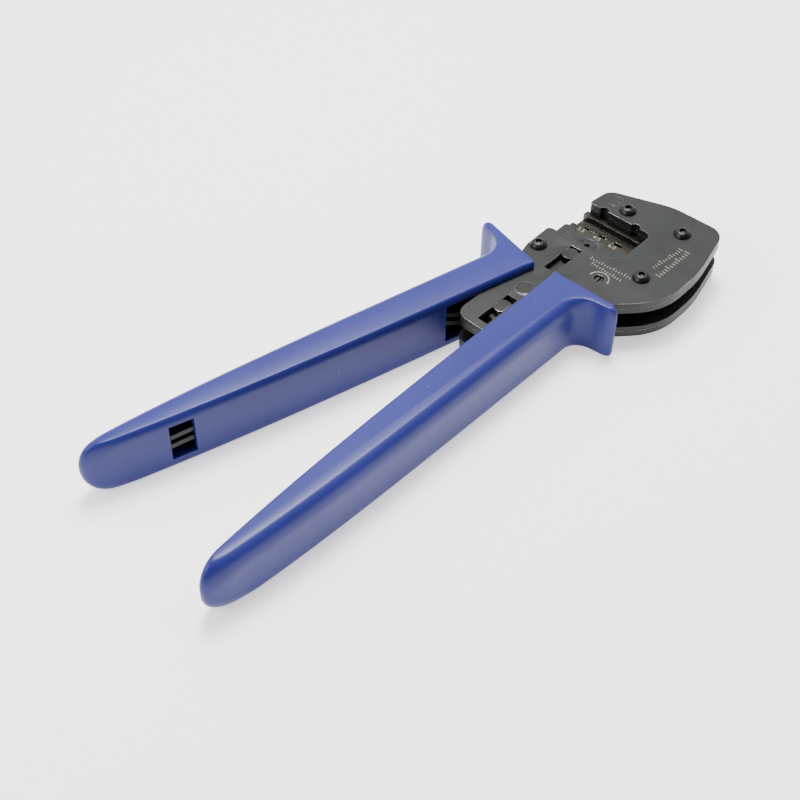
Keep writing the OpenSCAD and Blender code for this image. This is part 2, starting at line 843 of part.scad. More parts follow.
// The flat faces above and below: a fan over the guard, a ladder along the grip, and the tip
function grip_cap() =
  let (
    outer = inner_steps + tip_steps,
    guard = outer + outer_steps + 1,
    end = guard + guard_steps + 3
  )
  concat(
    [for (k = [guard - 1 : end - 1]) [0, k, k + 1]],
    [[0, 1, guard - 1]],
    [for (i = [1 : outer_steps]) [i, i + 1, guard - 1 - i, guard - i]],
    [[for (k = [outer_steps + 1 : outer]) k]]
  );

module grip(t, z0, z1) {
  difference() {
    grip_body();
    difference() {
      grip_hollow(t);
      grip_ribs(t, z0, z1);
    }
    grip_window();
  }
}

module fixed_grip() {
  color(BLUE) from_pivot() in_fixed() grip(stack_t + 2 * fit, z_gap_bot, z_gap_top);
}

// The moving grip passes over the frame plates and over the head of the neck's screw
module moving_grip() {
  far = norm(SCREWS[0]);
  color(BLUE) from_pivot() difference() {
    in_moving() grip(stack_t + 0.7, z_lever_low, z_lever_high + lever_t);
    translate([0, 0, z_top]) rotate(18) rotate_extrude(angle = 44, $fn = 90) {
      translate([far - head_d / 2 - 0.4, 0]) square([head_d + 0.8, head_h + 0.3]);
    }
  }
}

// The fixed lever's plates lie against the inner frame plates
module fixed_lever_plan() {
  polygon([for (p = concat(
    [[110, 13.2], [grip_l * 0.92, 11.4], [grip_l * 0.92, 8.7]],
    window_nib(),
    [[110, 6], [29, 4.4], [29, 13.4]])) fixed_point(p)]);
}

module fixed_lever(z) {
  color(STEEL) from_pivot() difference() {
    plate(z, lever_t) fixed_lever_plan();
    for (p = FIXED_RIVETS) hole(p, 2 * rivet_r + 2 * fit, z - eps, z + lever_t + eps);
  }
}

module fixed_lever_upper() {
  fixed_lever(z_gap_top - lever_t);
}

module fixed_lever_lower() {
  fixed_lever(z_gap_bot);
}

module fixed_lever_rivets() {
  color(BRIGHT) from_pivot() for (p = FIXED_RIVETS) {
    rod(p, 2 * rivet_r, z_bot, z_top);
    rod(p, 2 * rivet_r + 2.4, z_gap_bot + lever_t, z_gap_top - lever_t);
  }
}

outer_plate_upper();
inner_plate_upper();
inner_plate_lower();
outer_plate_lower();
pivot_pin();
plate_spacers();
frame_screws();
locating_dowel();
fixed_die();
fixed_lever_upper();
fixed_lever_lower();
fixed_lever_rivets();
fixed_grip();
spring_anchor();
return_spring();
pawl_spring_post();
pawl_spring();
moving_lever_upper();
moving_lever_lower();
crank_pin();
lever_rivets();
moving_grip();
carrier_upper();
carrier_lower();
moving_die();
die_screw();
front_guide_pin();
rear_guide_pin();
toggle_link();
pawl();
release_screw();
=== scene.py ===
import math

import bmesh
import bpy
import numpy as np
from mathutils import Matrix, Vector


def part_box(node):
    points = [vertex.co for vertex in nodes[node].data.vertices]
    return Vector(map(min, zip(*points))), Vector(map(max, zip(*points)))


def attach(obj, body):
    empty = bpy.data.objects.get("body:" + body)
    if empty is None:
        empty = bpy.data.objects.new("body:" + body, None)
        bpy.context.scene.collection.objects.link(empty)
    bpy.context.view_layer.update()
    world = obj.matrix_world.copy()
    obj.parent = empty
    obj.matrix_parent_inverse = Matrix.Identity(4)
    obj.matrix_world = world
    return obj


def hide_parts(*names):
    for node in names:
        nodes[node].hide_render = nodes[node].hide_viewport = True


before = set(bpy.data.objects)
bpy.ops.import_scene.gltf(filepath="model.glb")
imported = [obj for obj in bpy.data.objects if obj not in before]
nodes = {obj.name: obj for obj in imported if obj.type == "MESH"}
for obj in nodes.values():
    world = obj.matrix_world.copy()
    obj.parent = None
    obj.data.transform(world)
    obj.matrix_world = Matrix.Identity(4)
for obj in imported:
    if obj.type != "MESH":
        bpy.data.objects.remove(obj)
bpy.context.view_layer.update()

# ---- frame plates -------------------------------------------------------------------
# Four plates of blackened steel, laser cut and stacked in pairs with a gap between the
# pairs. Their cut edges are tumbled round, and the black has worn off along them.


def link_nodes(tree, start, start_socket, end, end_socket):
    tree.links.new(start.outputs[start_socket], end.inputs[end_socket])


def object_place(tree, centre=(0, 0, 0), scale=(1, 1, 1)):
    """Object coordinates in metres, moved so that centre is zero, then stretched by scale."""
    coords = tree.nodes.new("ShaderNodeTexCoord")
    place = tree.nodes.new("ShaderNodeMapping")
    place.inputs["Scale"].default_value = scale
    place.inputs["Location"].default_value = [-c * s for c, s in zip(centre, scale)]
    link_nodes(tree, coords, "Object", place, "Vector")
    return place


def noise(tree, place, scale, detail=3.0, rough=0.55):
    n = tree.nodes.new("ShaderNodeTexNoise")
    n.inputs["Scale"].default_value = scale
    n.inputs["Detail"].default_value = detail
    n.inputs["Roughness"].default_value = rough
    link_nodes(tree, place, "Vector", n, "Vector")
    return n


def ramp(tree, source, socket, stops):
    r = tree.nodes.new("ShaderNodeValToRGB")
    while len(r.color_ramp.elements) < len(stops):
        r.color_ramp.elements.new(0.5)
    for e, (at, colour) in zip(r.color_ramp.elements, stops):
        e.position = at
        e.color = (*colour, 1)
    link_nodes(tree, source, socket, r, "Fac")
    return r


def span(tree, source, socket, low, high, to_low, to_high):
    m = tree.nodes.new("ShaderNodeMapRange")
    for name, v in (("From Min", low), ("From Max", high), ("To Min", to_low), ("To Max", to_high)):
        m.inputs[name].default_value = v
    link_nodes(tree, source, socket, m, "Value")
    return m


def mix_colour(tree, mask, mask_socket, a, a_socket, b, b_socket):
    m = tree.nodes.new("ShaderNodeMix")
    m.data_type = "RGBA"
    tree.links.new(mask.outputs[mask_socket], m.inputs[0])
    tree.links.new(a.outputs[a_socket], m.inputs[6])
    tree.links.new(b.outputs[b_socket], m.inputs[7])
    return m


def bump(tree, shader, source, socket, strength, distance):
    b = tree.nodes.new("ShaderNodeBump")
    b.inputs["Strength"].default_value = strength
    b.inputs["Distance"].default_value = distance
    link_nodes(tree, source, socket, b, "Height")
    link_nodes(tree, b, "Normal", shader, "Normal")


def new_material(name, metallic=0.0, specular=0.5):
    m = bpy.data.materials.new(name)
    m.use_nodes = True
    shader = m.node_tree.nodes["Principled BSDF"]
    shader.inputs["Metallic"].default_value = metallic
    shader.inputs["Specular IOR Level"].default_value = specular
    return m, m.node_tree, shader


def black_oxide(name, dark=(0.014, 0.0155, 0.0146), light=(0.025, 0.0268, 0.0252)):
    """Blackened steel: soft blotches of oil and oxide, fine grain, and faint rubbed lines."""
    m, tree, shader = new_material(name, metallic=0.2, specular=0.22)
    place = object_place(tree)
    cloud = noise(tree, place, 60, 4, 0.6)
    tone = ramp(tree, cloud, "Fac", [(0.3, dark), (0.72, light)])
    grain = noise(tree, place, 2600, 2, 0.5)
    speck = ramp(tree, grain, "Fac", [(0.68, (0, 0, 0)), (0.8, (1, 1, 1))])
    rubbed = ramp(tree, cloud, "Fac", [(0.0, (0.07, 0.072, 0.07)), (1.0, (0.05, 0.052, 0.05))])
    body = mix_colour(tree, speck, "Color", tone, "Color", rubbed, "Color")
    lines = noise(tree, object_place(tree, scale=(60, 3, 60)), 42, 2, 0.5)
    thin = ramp(tree, lines, "Fac", [(0.735, (0, 0, 0)), (0.76, (1, 1, 1))])
    scar = ramp(tree, cloud, "Fac", [(0.0, (0.12, 0.12, 0.115)), (1.0, (0.09, 0.09, 0.085))])
    worn = mix_colour(tree, thin, "Color", body, 2, scar, "Color")
    tree.links.new(worn.outputs[2], shader.inputs["Base Color"])
    gloss = span(tree, cloud, "Fac", 0.3, 0.7, 0.48, 0.38)
    link_nodes(tree, gloss, "Result", shader, "Roughness")
    bump(tree, shader, grain, "Fac", 0.12, 0.00004)
    return m


def worn_edge(name, amount=0.5):
    """The rounded edge of a blackened part: silver where handling has rubbed it through."""
    m, tree, shader = new_material(name, metallic=0.9)
    patch = noise(tree, object_place(tree), 150, 4, 0.65)
    colour = ramp(tree, patch, "Fac", [
        (0.62 - 0.28 * amount, (0.05, 0.052, 0.05)),
        (0.66 - 0.20 * amount, (0.12, 0.12, 0.117)),
        (0.78 - 0.12 * amount, (0.36, 0.35, 0.34))])
    link_nodes(tree, colour, "Color", shader, "Base Color")
    gloss = span(tree, patch, "Fac", 0.4, 0.6, 0.42, 0.27)
    link_nodes(tree, gloss, "Result", shader, "Roughness")
    return m


def tidy_shading(mesh, angle=32):
    mesh.polygons.foreach_set("use_smooth", [True] * len(mesh.polygons))
    mesh.set_sharp_from_angle(angle=math.radians(angle))
    mesh.update()


def add_piece(name, mesh, body, materials, instead_of=()):
    piece = bpy.data.objects.new(name, mesh)
    bpy.context.scene.collection.objects.link(piece)
    mesh.materials.clear()
    for m in materials:
        mesh.materials.append(m)
    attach(piece, body)
    if instead_of:
        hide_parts(*instead_of)
    return piece


def softened(node, body, face, edge, width, segments=2):
    """A CAD node's own mesh, merged, with each sharp edge rounded by width metres."""
    mesh = nodes[node].data.copy()
    mesh.name = node + "_finished"
    bm = bmesh.new()
    bm.from_mesh(mesh)
    bmesh.ops.remove_doubles(bm, verts=bm.verts, dist=2e-6)
    bmesh.ops.dissolve_limit(bm, angle_limit=math.radians(0.6), verts=bm.verts, edges=bm.edges,
                             use_dissolve_boundaries=False)
    bm.to_mesh(mesh)
    bm.free()
    tidy_shading(mesh)
    piece = add_piece(node + "_finished", mesh, body, [face, edge], (node,))
    rounding = piece.modifiers.new("rounded_edges", "BEVEL")
    rounding.width = width
    rounding.segments = segments
    rounding.limit_method = "ANGLE"
    rounding.angle_limit = math.radians(38)
    rounding.material = 1
    rounding.harden_normals = True
    rounding.miter_outer = "MITER_ARC"
    return piece


plate_black = black_oxide("plate_black_oxide")
plate_edge = worn_edge("plate_worn_edge", 0.95)
softened("outer_plate_upper", "frame", plate_black, plate_edge, 0.0006, 3)
softened("outer_plate_lower", "frame", plate_black, plate_edge, 0.0005, 3)
softened("inner_plate_upper", "frame", plate_black, plate_edge, 0.0004)
softened("inner_plate_lower", "frame", plate_black, plate_edge, 0.0004)

# ---- locating dowel and spacers -----------------------------------------------------
# A ground dowel pressed flush through the plates and blackened with them, and plain
# turned spacers that hold the two pairs of plates apart at three of the screws.

quiet_edge = worn_edge("quiet_worn_edge", 0.2)
softened("locating_dowel", "frame", plate_black, quiet_edge, 0.00014)

spacer_steel, tree, shader = new_material("spacer_steel", metallic=1.0)
turned = noise(tree, object_place(tree, scale=(1, 1, 40)), 120, 2, 0.5)
colour = ramp(tree, turned, "Fac", [(0.3, (0.06, 0.06, 0.058)), (0.7, (0.11, 0.11, 0.106))])
link_nodes(tree, colour, "Color", shader, "Base Color")
shader.inputs["Roughness"].default_value = 0.36
bump(tree, shader, turned, "Fac", 0.2, 0.00004)
softened("plate_spacers", "frame", spacer_steel, plate_edge, 0.0003)

# ---- frame screws -------------------------------------------------------------------
# Four M4 button-head screws, blackened and lightly oiled. Each head is a flattened dome
# with a hexagon socket that has been broached to a shallow cone at its floor.

SCREW_PLACES = ((0.0257, 0.0264), (0.0707, 0.0121), (0.0738, -0.0145), (0.0385, -0.0183))
PLATE_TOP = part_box("outer_plate_upper")[1].z


def button_head(centre, turn, around=96):
    """A screw as one grid: each ring goes round the axis at radius r and height z.
    The rings run from the shank's end up to the head, over its dome and down the socket's
    wall, where the radius follows a hexagon, r = flat / cos(angle within a sixth)."""
    a = np.linspace(0, 2 * np.pi, around, endpoint=False)
    flat = 0.00125
    hexagon = flat / np.cos((a + turn) % (np.pi / 3) - np.pi / 6)
    one = np.ones_like(a)
    t = np.linspace(0, 1, 14)
    rise = 0.0003 + 0.0019 * (1 - (1 - t) ** 2 * (1 - 0.2 * t))
    dome = 0.0038 * (1 - t) + 0.00165 * t
    rings = [(1e-5 * one, -0.0184), (0.0014 * one, -0.0184), (0.00192 * one, -0.0180),
             (0.00192 * one, -0.0001), (0.0036 * one, 0.0), (0.0038 * one, 0.00012)]
    rings += [(r * one, z) for r, z in zip(dome, rise)]
    rings += [(hexagon * 1.07, 0.0022), (hexagon * 1.01, 0.0021), (hexagon, 0.00197),
              (hexagon, 0.00085), (0.00118 * one, 0.00079), (1e-5 * one, 0.0006)]
    r = np.array([ring[0] for ring in rings])
    z = np.array([ring[1] * one for ring in rings])
    points = np.stack([centre[0] + r * np.cos(a), centre[1] + r * np.sin(a), PLATE_TOP + z], -1)
    return points


def grid_faces(rows, columns, start=0):
    """Four-cornered faces over a grid that is closed round its columns."""
    i, j = np.meshgrid(np.arange(rows - 1), np.arange(columns), indexing="ij")
    a = start + i * columns + j
    b = start + i * columns + (j + 1) % columns
    return np.stack([a, b, b + columns, a + columns], -1).reshape(-1, 4)


def grid_mesh(name, grids, angle=32):
    """One mesh from grids of points, each closed round its columns and at both ends."""
    verts, faces, start = [], [], 0
    for g in grids:
        rows, columns = g.shape[:2]
        verts.append(g.reshape(-1, 3))
        faces += grid_faces(rows, columns, start).tolist()
        faces.append(list(range(start + columns - 1, start - 1, -1)))
        faces.append(list(range(start + (rows - 1) * columns, start + rows * columns)))
        start += rows * columns
    mesh = bpy.data.meshes.new(name)
    mesh.from_pydata(np.concatenate(verts).tolist(), [], faces)
    bm = bmesh.new()
    bm.from_mesh(mesh)
    bmesh.ops.remove_doubles(bm, verts=bm.verts, dist=2e-6)
    bmesh.ops.recalc_face_normals(bm, faces=bm.faces)
    bm.to_mesh(mesh)
    bm.free()
    tidy_shading(mesh, angle)
    return mesh


screw_black, tree, shader = new_material("screw_black", metallic=0.9)
film = noise(tree, object_place(tree), 900, 3, 0.6)
colour = ramp(tree, film, "Fac", [(0.35, (0.02, 0.0205, 0.021)), (0.75, (0.045, 0.045, 0.045))])
link_nodes(tree, colour, "Color", shader, "Base Color")
gloss = span(tree, film, "Fac", 0.3, 0.7, 0.32, 0.46)
link_nodes(tree, gloss, "Result", shader, "Roughness")
heads = [button_head(c, 0.35 + 1.1 * i) for i, c in enumerate(SCREW_PLACES)]
add_piece("button_head_screws", grid_mesh("button_head_screws", heads), "frame",
          [screw_black], ("frame_screws",))

# ---- pivot pin and guide pins -------------------------------------------------------
# Turned steel pins. Their ends are faced on the lathe, which leaves fine rings, and the
# guide pins are milled flat on two sides where they run in the slots.


def turned_steel(name, centre, dark=(0.018, 0.018, 0.017), light=(0.05, 0.05, 0.047)):
    """Steel faced on a lathe: the tone and the relief follow the distance from the axis."""
    m, tree, shader = new_material(name, metallic=1.0)
    place = object_place(tree, centre=(centre[0], centre[1], 0), scale=(1, 1, 0))
    reach = tree.nodes.new("ShaderNodeVectorMath")
    reach.operation = "LENGTH"
    link_nodes(tree, place, "Vector", reach, 0)
    joined = tree.nodes.new("ShaderNodeCombineXYZ")
    link_nodes(tree, reach, "Value", joined, "X")
    rings = noise(tree, joined, 5200, 2, 0.6)
    film = noise(tree, object_place(tree), 300, 3, 0.6)
    both = tree.nodes.new("ShaderNodeMath")
    both.operation = "MULTIPLY_ADD"
    link_nodes(tree, rings, "Fac", both, 0)
    both.inputs[1].default_value = 0.55
    tree.links.new(span(tree, film, "Fac", 0.25, 0.75, 0.05, 0.4).outputs["Result"], both.inputs[2])
    colour = ramp(tree, both, "Value", [(0.25, dark), (0.75, light)])
    link_nodes(tree, colour, "Color", shader, "Base Color")
    gloss = span(tree, both, "Value", 0.2, 0.8, 0.42, 0.28)
    link_nodes(tree, gloss, "Result", shader, "Roughness")
    bump(tree, shader, rings, "Fac", 0.35, 0.00003)
    return m


PIVOT = (0, 0.013)
pin_edge = worn_edge("pin_bright_edge", 0.9)
softened("pivot_pin", "frame",
         turned_steel("pivot_pin_steel", PIVOT), pin_edge, 0.00025, 3)
softened("front_guide_pin", "slide",
         turned_steel("front_guide_pin_steel", (0.0306, PIVOT[1])), pin_edge, 0.0003, 3)
softened("rear_guide_pin", "slide",
         turned_steel("rear_guide_pin_steel", (-0.0144, PIVOT[1])), pin_edge, 0.0003, 3)

# The pivot's hole is countersunk a little, which leaves a bright rim and, inside it, a dark ring of
# shade. That dark ring is painted shade: a near-black skin laid in the countersink.


def ring_skin(name, centre, z, radii, heights, around=96):
    """A closed ring about a vertical axis: its cross-section is the list of radii and
    heights, carried once round."""
    a = np.linspace(0, 2 * np.pi, around, endpoint=False)
    r, h = np.array(radii)[:, None], np.array(heights)[:, None]
    points = np.stack([centre[0] + r * np.cos(a), centre[1] + r * np.sin(a), z + h + 0 * a], -1)
    here = np.arange(around)
    after = (here + 1) % around
    last = (len(radii) - 1) * around
    closing = np.stack([last + here, last + after, after, here], -1)
    faces = np.concatenate([grid_faces(len(radii), around), closing])
    mesh = bpy.data.meshes.new(name)
    mesh.from_pydata(points.reshape(-1, 3).tolist(), [], faces.tolist())
    bm = bmesh.new()
    bm.from_mesh(mesh)
    bmesh.ops.recalc_face_normals(bm, faces=bm.faces)
    bm.to_mesh(mesh)
    bm.free()
    tidy_shading(mesh)
    return mesh


pin_low, pin_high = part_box("pivot_pin")
PIN_R = (pin_high.x - pin_low.x) / 2
RING_DEEP = -0.0002
# Near-black colour laid over the countersink: painted shade, darker than the plate's own black.
countersink_painted_shade, tree, shader = new_material("countersink_shadow", metallic=0.0, specular=0.2)
shader.inputs["Base Color"].default_value = (0.006, 0.006, 0.006, 1)
shader.inputs["Roughness"].default_value = 0.6
# The first ring is the painted shade in the countersink, the second the bright steel rim.
for ring_name, steel, near, far, near_high, far_high in (
        ("pivot_countersink_painted_shade", countersink_painted_shade, -0.00012, 0.00038, 0.00002, 0.00002),
        ("pivot_rim", pin_edge, 0.0004, 0.00068, 0.00004, 0.00001)):
    ring = ring_skin(ring_name, PIVOT, PLATE_TOP,
                     (PIN_R + near, PIN_R + far, PIN_R + far, PIN_R + near),
                     (near_high, far_high, RING_DEEP, RING_DEEP))
    add_piece(ring_name, ring, "frame", [steel])

# ---- dies ---------------------------------------------------------------------------
# Two blocks of hardened tool steel, ground on their faces and milled along their length.
# Each has a shoulder and a low thin nose, and the nests are cut half in either nose.


def ground_steel(name, dark, light):
    """Tool steel milled along Y: streaks that are long in Y and fine across it."""
    m, tree, shader = new_material(name, metallic=1.0)
    streaks = noise(tree, object_place(tree, scale=(60, 1.5, 60)), 60, 3, 0.6)
    film = noise(tree, object_place(tree), 110, 3, 0.5)
    colour = ramp(tree, streaks, "Fac", [(0.3, dark), (0.7, light)])
    oil = ramp(tree, film, "Fac", [(0.4, (0.026, 0.024, 0.02)), (0.7, (0.045, 0.041, 0.035))])
    mask = ramp(tree, film, "Fac", [(0.3, (0.75, 0.75, 0.75)), (0.75, (0.15, 0.15, 0.15))])
    both = mix_colour(tree, mask, "Color", colour, "Color", oil, "Color")
    tree.links.new(both.outputs[2], shader.inputs["Base Color"])
    gloss = span(tree, streaks, "Fac", 0.3, 0.7, 0.4, 0.26)
    link_nodes(tree, gloss, "Result", shader, "Roughness")
    bump(tree, shader, streaks, "Fac", 0.25, 0.00003)
    return m


die_steel = ground_steel("die_ground_steel", (0.04, 0.036, 0.03), (0.09, 0.08, 0.067))
die_edge = worn_edge("die_bright_edge", 0.95)
softened("fixed_die", "frame", die_steel, die_edge, 0.0003)
softened("moving_die", "slide", die_steel, die_edge, 0.0003)

# ---- size numbers on the moving die -------------------------------------------------
# Plain wire sizes, marked with a laser on the shoulder beside each nest. The mark is a
# thin pale skin on the steel.

mark_pale, tree, shader = new_material("laser_mark", metallic=0.0, specular=0.3)
fade = noise(tree, object_place(tree), 1500, 2, 0.6)
colour = ramp(tree, fade, "Fac", [(0.3, (0.17, 0.155, 0.125)), (0.7, (0.3, 0.275, 0.23))])
link_nodes(tree, colour, "Color", shader, "Base Color")
shader.inputs["Roughness"].default_value = 0.6
DIE_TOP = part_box("moving_die")[1].z
SHOULDER_X = 0.0518


def numeral_mesh(text, height, centre):
    """Flat numerals, read along -Y with their tops to +X, as one mesh at centre."""
    curve = bpy.data.curves.new("numeral", "FONT")
    curve.body = text
    curve.size = height
    curve.align_x = "CENTER"
    curve.align_y = "CENTER"
    curve.extrude = 0.00002
    holder = bpy.data.objects.new("numeral", curve)
    bpy.context.scene.collection.objects.link(holder)
    bpy.context.view_layer.update()
    ready = holder.evaluated_get(bpy.context.evaluated_depsgraph_get())
    mesh = bpy.data.meshes.new_from_object(ready)
    bpy.data.objects.remove(holder)
    co = np.zeros(len(mesh.vertices) * 3)
    mesh.vertices.foreach_get("co", co)
    co = co.reshape(-1, 3)
    placed = np.stack([centre[0] + co[:, 1], centre[1] - co[:, 0], centre[2] + co[:, 2]], -1)
    mesh.vertices.foreach_set("co", placed.ravel())
    mesh.update()
    return mesh


def joined_mesh(name, meshes):
    bm = bmesh.new()
    for m in meshes:
        bm.from_mesh(m)
    out = bpy.data.meshes.new(name)
    bm.to_mesh(out)
    bm.free()
    return out


numerals = [numeral_mesh(t, 0.0031, (SHOULDER_X, y, DIE_TOP + 0.00002))
            for t, y in (("2.5", 0.0228), ("4.0", 0.0144), ("6.0", 0.0060))]
add_piece("nest_size_numbers", joined_mesh("nest_size_numbers", numerals), "slide",
          [mark_pale])

# ---- carrier ------------------------------------------------------------------------
# Two blackened plates that clamp the moving die between them and slide in the frame,
# held by a countersunk screw.

softened("carrier_upper", "slide", plate_black, quiet_edge, 0.00022)
softened("carrier_lower", "slide", plate_black, quiet_edge, 0.00022)
softened("die_screw", "slide", screw_black, quiet_edge, 0.00012)

# ---- levers, link and pawl ----------------------------------------------------------
# Stamped and hardened plates in plain oiled steel, darker than the frame, with the pins
# and rivets that join them.

lever_dark = black_oxide("lever_oiled_steel", (0.012, 0.0125, 0.012), (0.022, 0.023, 0.022))
for lever in ("moving_lever_upper", "moving_lever_lower"):
    softened(lever, "moving_handle", lever_dark, plate_edge, 0.0002)
for lever in ("fixed_lever_upper", "fixed_lever_lower"):
    softened(lever, "frame", lever_dark, plate_edge, 0.0002)
softened("toggle_link", "link", lever_dark, plate_edge, 0.0002)
softened("pawl", "pawl", lever_dark, plate_edge, 0.00015)
softened("crank_pin", "moving_handle", spacer_steel, pin_edge, 0.00025)
softened("lever_rivets", "moving_handle", spacer_steel, pin_edge, 0.00025)
softened("fixed_lever_rivets", "frame",
         turned_steel("rivet_steel", (-0.0195, 0.0005)), pin_edge, 0.0003)
softened("spring_anchor", "frame", spacer_steel, pin_edge, 0.0002)
softened("pawl_spring_post", "frame", spacer_steel, pin_edge, 0.0002)
softened("release_screw", "pawl", screw_black, plate_edge, 0.00015)

# ---- springs ------------------------------------------------------------------------
# Torsion springs of drawn music wire, one round the pivot and one on the pawl's axle.

wire_steel, tree, shader = new_material("spring_wire", metallic=1.0)
drawn = noise(tree, object_place(tree), 700, 3, 0.6)
colour = ramp(tree, drawn, "Fac", [(0.3, (0.12, 0.11, 0.1)), (0.7, (0.2, 0.19, 0.17))])
link_nodes(tree, colour, "Color", shader, "Base Color")
shader.inputs["Roughness"].default_value = 0.3
for spring in ("return_spring", "pawl_spring"):
    nodes[spring].data.materials.clear()
    nodes[spring].data.materials.append(wire_steel)

# ---- laser marks on the head --------------------------------------------------------
# A generic turning arrow round the release screw, and plain scales of ticks beside it and
# near the rim, marked with a laser on the blackened plate.


def arc_band(centre, radius, width, start, end, steps=40):
    """A flat band along a circle: two rows of points at radius plus and minus half the width."""
    a = np.radians(np.linspace(start, end, steps))
    rows = [np.stack([centre[0] + r * np.cos(a), centre[1] + r * np.sin(a)], -1)
            for r in (radius - width / 2, radius + width / 2)]
    return np.stack(rows, 1)


def flat_skin(name, strips, z, thick=0.00002):
    """Thin closed skins from strips of paired points, lying on the plate at height z."""
    verts, faces = [], []
    for s in strips:
        n, start = len(s), len(verts)
        flat = s.reshape(-1, 2)
        verts += np.column_stack([flat, np.full(len(flat), z)]).tolist()
        verts += np.column_stack([flat, np.full(len(flat), z + thick)]).tolist()
        m = 2 * n
        end = start + m - 2
        faces += [(start, start + 1, start + 1 + m, start + m), (end + 1, end, end + m, end + 1 + m)]
        for a in range(start, end, 2):
            b, c, d = a + 1, a + 3, a + 2
            faces += [(a, d, c, b), (a + m, b + m, c + m, d + m),
                      (a, a + m, d + m, d), (b, c, c + m, b + m)]
    mesh = bpy.data.meshes.new(name)
    mesh.from_pydata(verts, [], faces)
    bm = bmesh.new()
    bm.from_mesh(mesh)
    bmesh.ops.recalc_face_normals(bm, faces=bm.faces)
    bm.to_mesh(mesh)
    bm.free()
    return mesh


RELEASE = (0.0259, -0.0057)
ARROW_R = 0.0043
ARROW_HALF = 0.0006
ARROW_END = 78
HEAD_TURN = 16


def round_release(radius, degrees):
    a = np.radians(degrees)
    return np.array([RELEASE[0] + radius * np.cos(a), RELEASE[1] + radius * np.sin(a)])


marks = [arc_band(RELEASE, ARROW_R, 0.0004, ARROW_END, -ARROW_END)]
for side in (1, -1):
    point = round_release(ARROW_R, side * (ARROW_END + HEAD_TURN))
    inner = round_release(ARROW_R - ARROW_HALF, side * ARROW_END)
    outer = round_release(ARROW_R + ARROW_HALF, side * ARROW_END)
    marks.append(np.array([[inner, outer], [point * 0.999 + inner * 0.001, point]]))


def tick_row(start, end, count, tall, wide):
    """Upright ticks from start to end, every fourth one taller, as pairs of points."""
    start, end = np.array(start), np.array(end)
    along = (end - start) / np.linalg.norm(end - start)
    up = np.array([-along[1], along[0]])
    up = up if up[0] > 0 else -up
    row = []
    for i in range(count):
        foot = start + (end - start) * i / (count - 1)
        top = up * tall * (1.0 if i % 4 == 0 else 0.62)
        row.append(np.array([[foot, foot + along * wide], [foot + top, foot + top + along * wide]]))
    return row


marks += tick_row((0.0335, 0.0046), (0.0345, -0.0150), 15, 0.0019, 0.0003)
marks += tick_row((0.0312, 0.0023), (0.0306, -0.0127), 12, 0.0019, 0.0003)
marks += tick_row((0.0655, -0.0243), (0.0447, -0.0240), 13, 0.0026, 0.0004)
marks += tick_row((0.0649, -0.0210), (0.0477, -0.0190), 12, 0.0021, 0.0003)
add_piece("laser_marks", flat_skin("laser_marks", marks, PLATE_TOP + 0.000005), "frame",
          [mark_pale])

# ---- grips --------------------------------------------------------------------------
# Two hollow grips, moulded in glossy blue plastic from one tool and pushed over the
# lever plates. Each flares out to a finger guard, its outer edge is rounded broadly,
# and a small window near the tip shows the steel inside.

GRIP_TALL = 26.0
GRIP_LONG = 206.0
TIP_START = 0.925
GUARD = 35.2
WALL = 2.7
LEVER_SPACE = 18.5
TIP_TO_WINDOW = 40.2
WINDOW_HALF = 5.2
WINDOW_LOW = 4.15
RIB_HALF = 1.25


def inner_side(t):
    return 5.2 * t ** 3.5 + 0.7 * t


def outer_side(t):
    return 18.9 - 1.6 * t - 4.6 * t ** 5


def grip_outline(s, long):
    """The grip's outline in mm as rows of (u, v, height of its rounding). s goes from 0 at
    full width to 1 at the flat top. The inner side is 5.2 t^3.5 + 0.7 t, the outer side
    18.9 - 1.6 t - 4.6 t^5, the tip half an ellipse, and the guard a quarter of one."""
    t = np.linspace(0.004, TIP_START, 120)
    ease = np.clip(t / 0.02, 0, 1)
    inner = np.stack([long * t, inner_side(t) + (0.6 + 1.2 * ease) * s, 1.6 + 2.8 * ease], -1)
    a = np.linspace(0, np.pi, 50)[1:-1]
    share = a / np.pi
    low = inner_side(TIP_START) + 1.8 * s
    high = outer_side(TIP_START) - 5 * s
    tip = np.stack([
        long * TIP_START + (long * (1 - TIP_START) - 9 * s) * np.sin(a),
        (low + high) / 2 - (high - low) / 2 * np.cos(a),
        4.4 * (1 - share) + 7.7 * share + 5.5 * np.sin(a)], -1)
    t = np.linspace(TIP_START, 0.075, 110)
    outer = np.stack([long * t, outer_side(t) - 5 * s, np.full_like(t, 7.7)], -1)
    a = np.linspace(0, np.pi / 2, 40)
    share = a / a[-1]
    start = outer_side(0.06) - 5 * s
    end = GUARD - 8.2 - 0.5 * s
    guard = np.stack([
        12.5 + 2 * s - (7.9 + 2.3 * s) * np.sin(a),
        end - (end - start) * np.cos(a),
        7.7 * (1 - share) + 3.2 * share], -1)
    near = np.array([
        [4.6 - 0.9 * s, GUARD - 5.2 - 1.2 * s, 3.9],
        [4.5 - 1.0 * s, GUARD - 3.6 - 1.7 * s, 4.5],
        [4.2 - 0.9 * s, GUARD - 2.0 - 2.3 * s, 5.0],
        [3.5 - 0.5 * s, GUARD - 0.7 - 3.1 * s, 5.3],
        [2.7 - 0.15 * s, GUARD - 0.1 - 3.7 * s, 5.4],
        [1.7 + 0.1 * s, GUARD - 0.5 - 3.3 * s, 5.0],
        [0.95 + 0.35 * s, GUARD - 1.6 - 2.4 * s, 4.2],
        [0.72 + 0.4 * s, GUARD - 3.4 - 1.6 * s, 3.2]])
    down = np.linspace(GUARD - 5, 0.9, 30)
    share = down / GUARD
    face = np.stack([0.7 + 0.42 * s + 0 * down, down - 1.2 * s * share, 1.5 + 1.5 * share ** 2], -1)
    corner = np.array([[0.72 + 0.42 * s, 0.45 + 0.6 * s, 1.5], [0.78 + 0.4 * s, 0.16 + 0.75 * s, 1.5]])
    return np.concatenate([inner, tip, outer, guard, near, face, corner])


